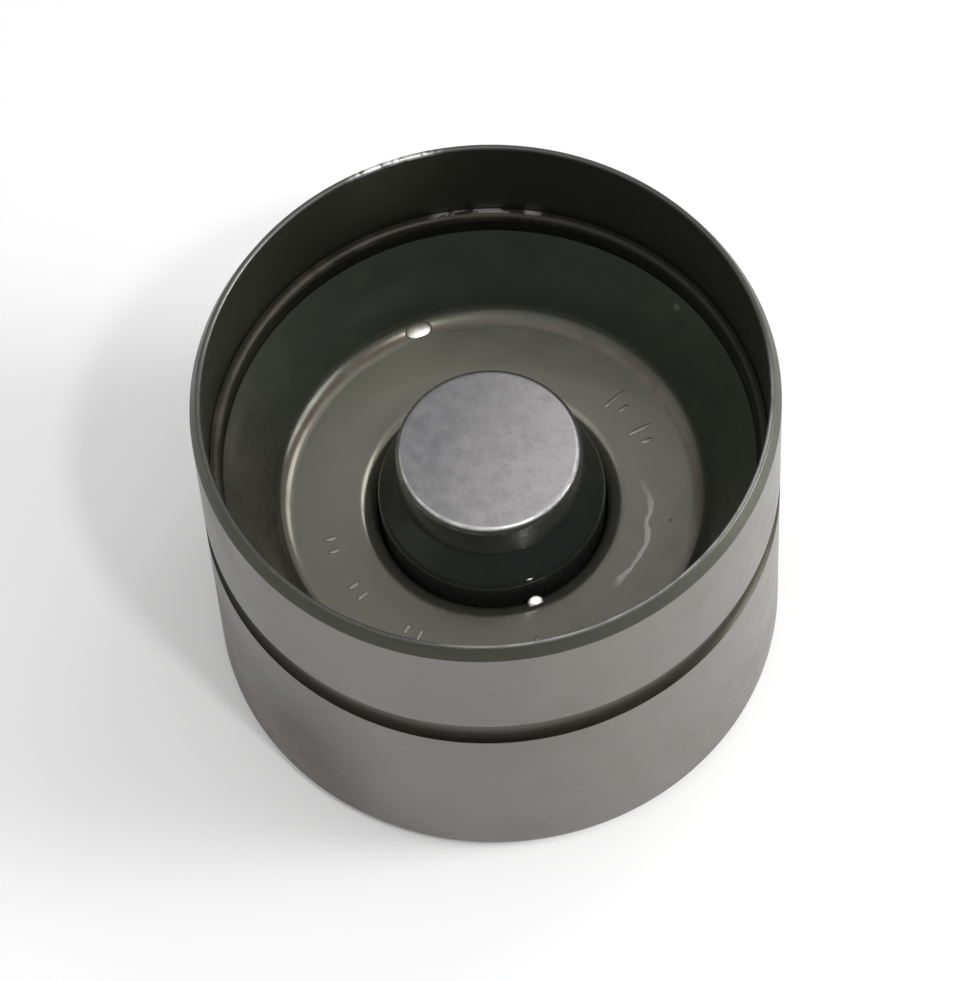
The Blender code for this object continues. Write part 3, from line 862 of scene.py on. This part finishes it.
def make_oil(name, body, films, look):
    """Thin films of oil that bridge a corner or hang on an edge."""
    shape = bmesh.new()
    for azimuth, radius, height, length, width in films:
        angle = math.radians(azimuth)
        around, along = OIL_STEPS
        film = bmesh.ops.create_uvsphere(
            shape, u_segments=around, v_segments=along, radius=1.0
        )["verts"]
        bmesh.ops.scale(shape, verts=film, vec=(width, length, OIL_HALF_THICKNESS))
        bmesh.ops.rotate(shape, verts=film, matrix=Matrix.Rotation(angle - OIL_LEAN, 3, "Z"))
        bmesh.ops.rotate(shape, verts=film, matrix=Matrix.Rotation(OIL_TILT, 3, "Y"))
        bmesh.ops.rotate(shape, verts=film, matrix=Matrix.Rotation(OIL_LEAN, 3, "Z"))
        place = (radius * math.cos(angle), radius * math.sin(angle), height)
        bmesh.ops.translate(shape, verts=film, vec=place)
    mesh = bpy.data.meshes.new(name)
    shape.to_mesh(mesh)
    shape.free()
    mesh.materials.append(look)
    piece = link(name, mesh)
    piece.data.shade_smooth()
    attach(piece, body)


def make_spring(name, joint, fixed_height, travel, look):
    """A copy of the frame's spring in the given look, riding with the bucket; it does not shorten,
    and the joint, the fixed height and the travel are not used.
    """
    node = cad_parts[name]
    coil = link(name.replace("spring", "coil"), node.data.copy())
    coil.matrix_world = node.matrix_world
    coil.data.materials.clear()
    coil.data.materials.append(look)
    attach(coil, "bucket")
    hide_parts(name)
    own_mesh(coil)


def dress_inner_pieces(nodes):
    """Materials of the pieces that stay as the frame has them."""
    looks = {
        "piston": ("lapped_steel", (0.42, 0.42, 0.42), (0.52, 0.52, 0.51), 0.12, 0.2, 9000),
        "valve_cap": ("cap_steel", (0.34, 0.34, 0.33), (0.45, 0.45, 0.43), 0.22, 0.34, 4000),
        "check_ball": ("ball_steel", (0.55, 0.55, 0.55), (0.62, 0.62, 0.62), 0.05, 0.08, 9000),
    }
    for name, look in looks.items():
        nodes[name].data.materials.clear()
        nodes[name].data.materials.append(inner_steel(*look))


def make_floor():
    """A plain pale floor, a little lighter to the camera and in reflections."""
    mesh = bpy.data.meshes.new("floor")
    shape = bmesh.new()
    bmesh.ops.create_grid(shape, x_segments=1, y_segments=1, size=FLOOR_SIZE / 2)
    shape.to_mesh(mesh)
    shape.free()
    floor = link("floor", mesh)
    look = Look("floor", Metallic=0.0, Roughness=0.9)
    look.feed(look.shader.inputs["Base Color"], (FLOOR_GREY, FLOOR_GREY, FLOOR_GREY, 1))
    look.feed(look.shader.inputs["Specular IOR Level"], 0.1)
    look.feed(look.shader.inputs["Emission Color"], (1, 1, 1, 1))
    path = look.node("ShaderNodeLightPath").outputs
    seen = look.math("MAXIMUM", path["Is Camera Ray"], path["Is Glossy Ray"])
    seen = look.math("MAXIMUM", seen, path["Is Transmission Ray"])
    look.feed(look.shader.inputs["Emission Strength"], look.times(seen, FLOOR_GLOW))
    mesh.materials.append(look.material)


def make_lamp(name, azimuth, elevation, distance, size, power, target):
    """A soft round lamp that looks at the target."""
    around = math.radians(azimuth)
    up = math.radians(elevation)
    way = Vector((math.sin(around) * math.cos(up), -math.cos(around) * math.cos(up), math.sin(up)))
    data = bpy.data.lights.new(name, "AREA")
    data.shape = "DISK"
    data.size = size
    data.energy = power
    lamp = bpy.data.objects.new(name, data)
    bpy.context.scene.collection.objects.link(lamp)
    lamp.location = target + distance * way
    lamp.rotation_euler = way.to_track_quat("Z", "Y").to_euler()


def make_room():
    """Plain grey surroundings, lightest high on the right at the back."""
    world = bpy.data.worlds.new("room")
    bpy.context.scene.world = world
    world.use_nodes = True
    tree = world.node_tree
    ways = tree.nodes.new("ShaderNodeTexCoord")
    lean = tree.nodes.new("ShaderNodeVectorMath")
    lean.operation = "DOT_PRODUCT"
    lean.inputs[1].default_value = ROOM_LIGHT_SIDE
    ramp = tree.nodes.new("ShaderNodeMapRange")
    ramp.interpolation_type = "SMOOTHSTEP"
    ramp.inputs["From Min"].default_value, ramp.inputs["From Max"].default_value = ROOM_RAMP
    mix = tree.nodes.new("ShaderNodeMix")
    mix.data_type = "RGBA"
    mix.inputs[6].default_value = (*ROOM_DARK, 1)
    mix.inputs[7].default_value = (*ROOM_LIGHT, 1)
    tree.links.new(ways.outputs["Generated"], lean.inputs[0])
    tree.links.new(lean.outputs["Value"], ramp.inputs["Value"])
    tree.links.new(ramp.outputs["Result"], mix.inputs[0])
    tree.links.new(mix.outputs[2], tree.nodes["Background"].inputs["Color"])


def main():
    bpy.context.scene.view_settings.view_transform = "Standard"
    target = Vector((0, 0, (CAD_LOW[2] + CAD_HIGH[2]) / 2))
    make_camera(target)
    make_floor()
    make_room()
    for lamp in LAMPS:
        make_lamp(*lamp, target)

    insert_low, insert_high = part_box("guide_insert")
    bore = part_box("inner_housing")[1].x + FIT_GAP
    path = insert_path(insert_high.z, insert_low.z, insert_high.x - SHEET_THICKNESS, bore)
    shell_looks = {
        "ground": ground_steel(),
        "rim": rim_steel(),
        "groove": groove_steel(),
        "chamfer": dark_steel("chamfer_steel", (0.052, 0.055, 0.042), (0.078, 0.078, 0.062)),
        # the inside copy is dark unground steel, painted darker still as shade inside the cup
        "inside": dark_steel("shaded_inside_steel", (0.035, 0.038, 0.028), (0.056, 0.058, 0.045)),
    }
    make_shell(shell_looks, path)
    make_insert({"sheet": insert_steel(), "flange": flange_steel()}, path)
    make_housing({"face": face_steel(), "edge": edge_steel(), "sides": housing_steel()})
    make_marks(mark_steel())
    film = oil()
    make_oil("oil_films", "bucket", INSERT_OIL, film)
    make_oil("housing_oil", "housing", HOUSING_OIL, film)
    dress_inner_pieces(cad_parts)
    wire = inner_steel("spring_wire", (0.24, 0.24, 0.23), (0.34, 0.34, 0.33), 0.22, 0.35, 3000)
    for spring in SPRINGS:
        make_spring(*spring, wire)


main()
